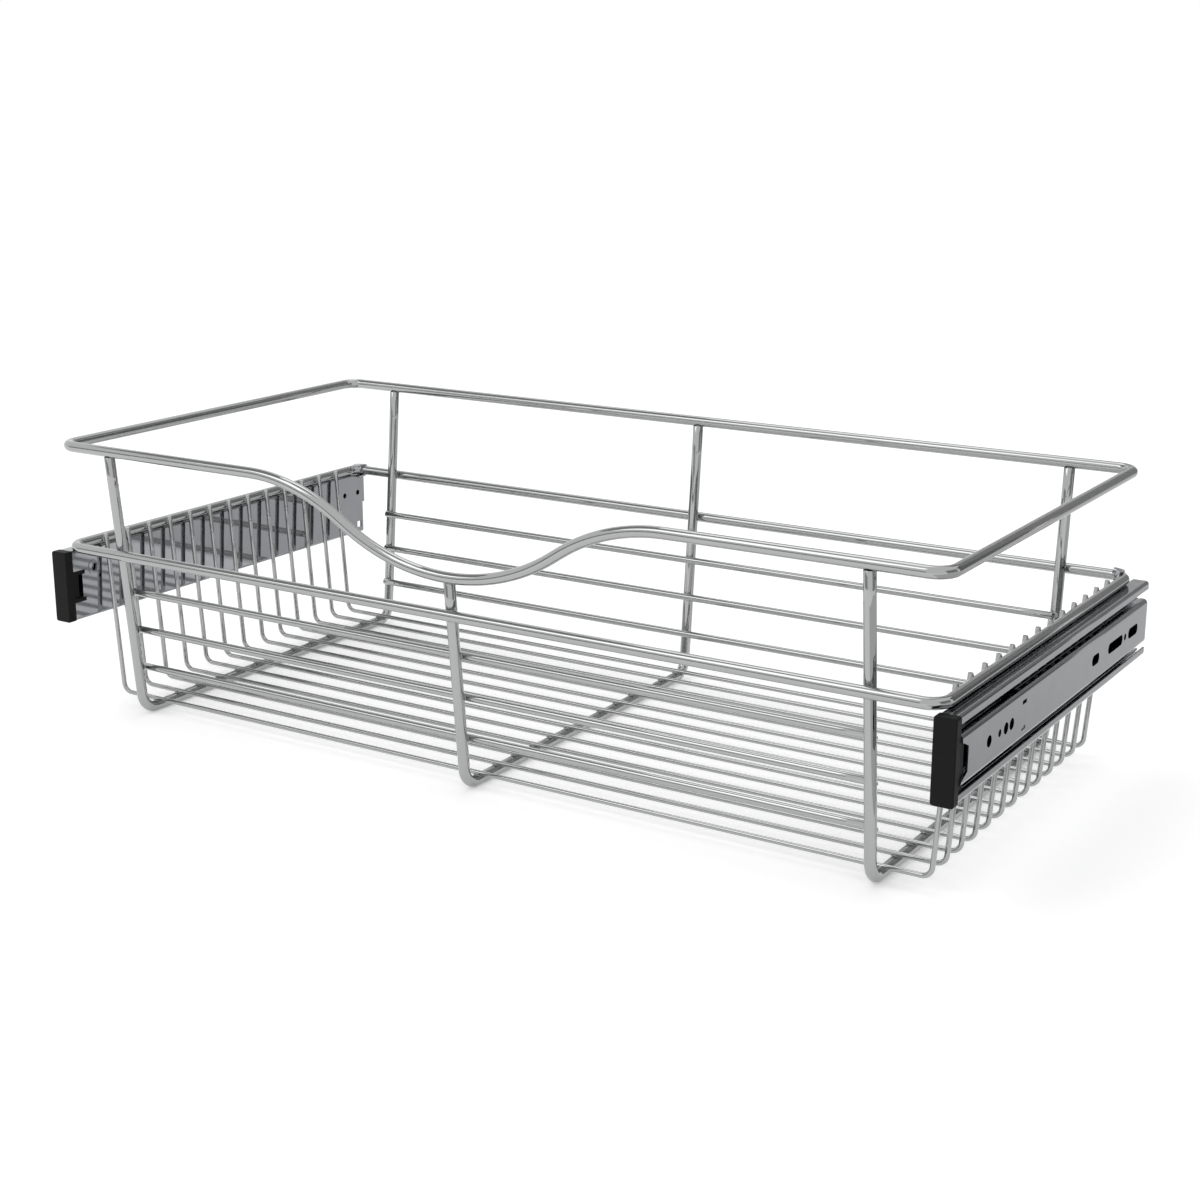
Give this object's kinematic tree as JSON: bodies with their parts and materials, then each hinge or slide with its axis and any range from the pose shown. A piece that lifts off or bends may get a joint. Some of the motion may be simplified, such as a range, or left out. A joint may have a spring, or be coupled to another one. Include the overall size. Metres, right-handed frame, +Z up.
{
  "type": "pull-out wire basket",
  "caption": "Shallow pull-out basket of chrome-plated steel wire with a dipped front rim, hung between two ball-bearing slides with black end caps.",
  "frame": {"origin": "under the middle of the slides, on the plane of the basket's floor runs' undersides", "axes": "+X to the right, +Y to the back of the cabinet, +Z up; the basket pulls out along -Y"},
  "size_m": [0.6096, 0.2964, 0.1766],
  "materials": {
    "chrome_wire": "bright nickel-chrome plating on drawn steel wire",
    "zinc_plated_steel": "bright zinc plating on roll-formed steel sheet, satin",
    "cap_plastic": "black injection-moulded plastic, fine matte",
    "cage_steel": "plain stamped steel strip, lightly oiled",
    "bearing_steel": "polished bearing steel"
  },
  "bodies": {
    "wall_members": {"wall_member_left": "zinc_plated_steel", "wall_member_right": "zinc_plated_steel", "rear_stop_left": "cap_plastic", "rear_stop_right": "cap_plastic"},
    "basket": {"top_rim": "chrome_wire", "middle_rim": "chrome_wire", "frame_loop_left": "chrome_wire", "frame_loop_centre": "chrome_wire", "frame_loop_right": "chrome_wire", "front_rail_1": "chrome_wire", "front_rail_2": "chrome_wire", "front_rail_3": "chrome_wire", "back_rail_1": "chrome_wire", "back_rail_2": "chrome_wire", "back_rail_3": "chrome_wire", "cross_wire_01": "chrome_wire", "cross_wire_02": "chrome_wire", "cross_wire_03": "chrome_wire", "cross_wire_04": "chrome_wire", "cross_wire_05": "chrome_wire", "cross_wire_06": "chrome_wire", "cross_wire_07": "chrome_wire", "cross_wire_08": "chrome_wire", "cross_wire_09": "chrome_wire", "cross_wire_10": "chrome_wire", "cross_wire_11": "chrome_wire", "cross_wire_12": "chrome_wire", "cross_wire_13": "chrome_wire", "channel_left": "zinc_plated_steel", "channel_right": "zinc_plated_steel", "end_cap_left": "cap_plastic", "end_cap_right": "cap_plastic"},
    "intermediate_left": {"intermediate_member_left": "zinc_plated_steel"},
    "intermediate_right": {"intermediate_member_right": "zinc_plated_steel"},
    "outer_bearing_left": {"outer_cage_left": "cage_steel", "outer_balls_left": "bearing_steel"},
    "outer_bearing_right": {"outer_cage_right": "cage_steel", "outer_balls_right": "bearing_steel"},
    "inner_bearing_left": {"inner_cage_left": "cage_steel", "inner_balls_left": "bearing_steel"},
    "inner_bearing_right": {"inner_cage_right": "cage_steel", "inner_balls_right": "bearing_steel"}
  },
  "joints": [
    {"name": "basket_slide", "type": "slide", "parent": "wall_members", "child": "basket", "axis": [0, -1, 0], "range_m": [0, 0.29]},
    {"name": "intermediate_left_slide", "type": "slide", "parent": "wall_members", "child": "intermediate_left", "axis": [0, -1, 0], "range_m": [0, 0.145]},
    {"name": "intermediate_right_slide", "type": "slide", "parent": "wall_members", "child": "intermediate_right", "axis": [0, -1, 0], "range_m": [0, 0.145]},
    {"name": "outer_bearing_left_slide", "type": "slide", "parent": "wall_members", "child": "outer_bearing_left", "axis": [0, -1, 0], "range_m": [0, 0.2175]},
    {"name": "outer_bearing_right_slide", "type": "slide", "parent": "wall_members", "child": "outer_bearing_right", "axis": [0, -1, 0], "range_m": [0, 0.2175]},
    {"name": "inner_bearing_left_slide", "type": "slide", "parent": "wall_members", "child": "inner_bearing_left", "axis": [0, -1, 0], "range_m": [0, 0.0725]},
    {"name": "inner_bearing_right_slide", "type": "slide", "parent": "wall_members", "child": "inner_bearing_right", "axis": [0, -1, 0], "range_m": [0, 0.0725]}
  ],
  "couplings": [
    {"joint": "intermediate_left_slide", "follows": "basket_slide", "ratio": 0.5},
    {"joint": "intermediate_right_slide", "follows": "basket_slide", "ratio": 0.5},
    {"joint": "outer_bearing_left_slide", "follows": "basket_slide", "ratio": 0.75},
    {"joint": "outer_bearing_right_slide", "follows": "basket_slide", "ratio": 0.75},
    {"joint": "inner_bearing_left_slide", "follows": "basket_slide", "ratio": 0.25},
    {"joint": "inner_bearing_right_slide", "follows": "basket_slide", "ratio": 0.25}
  ]
}
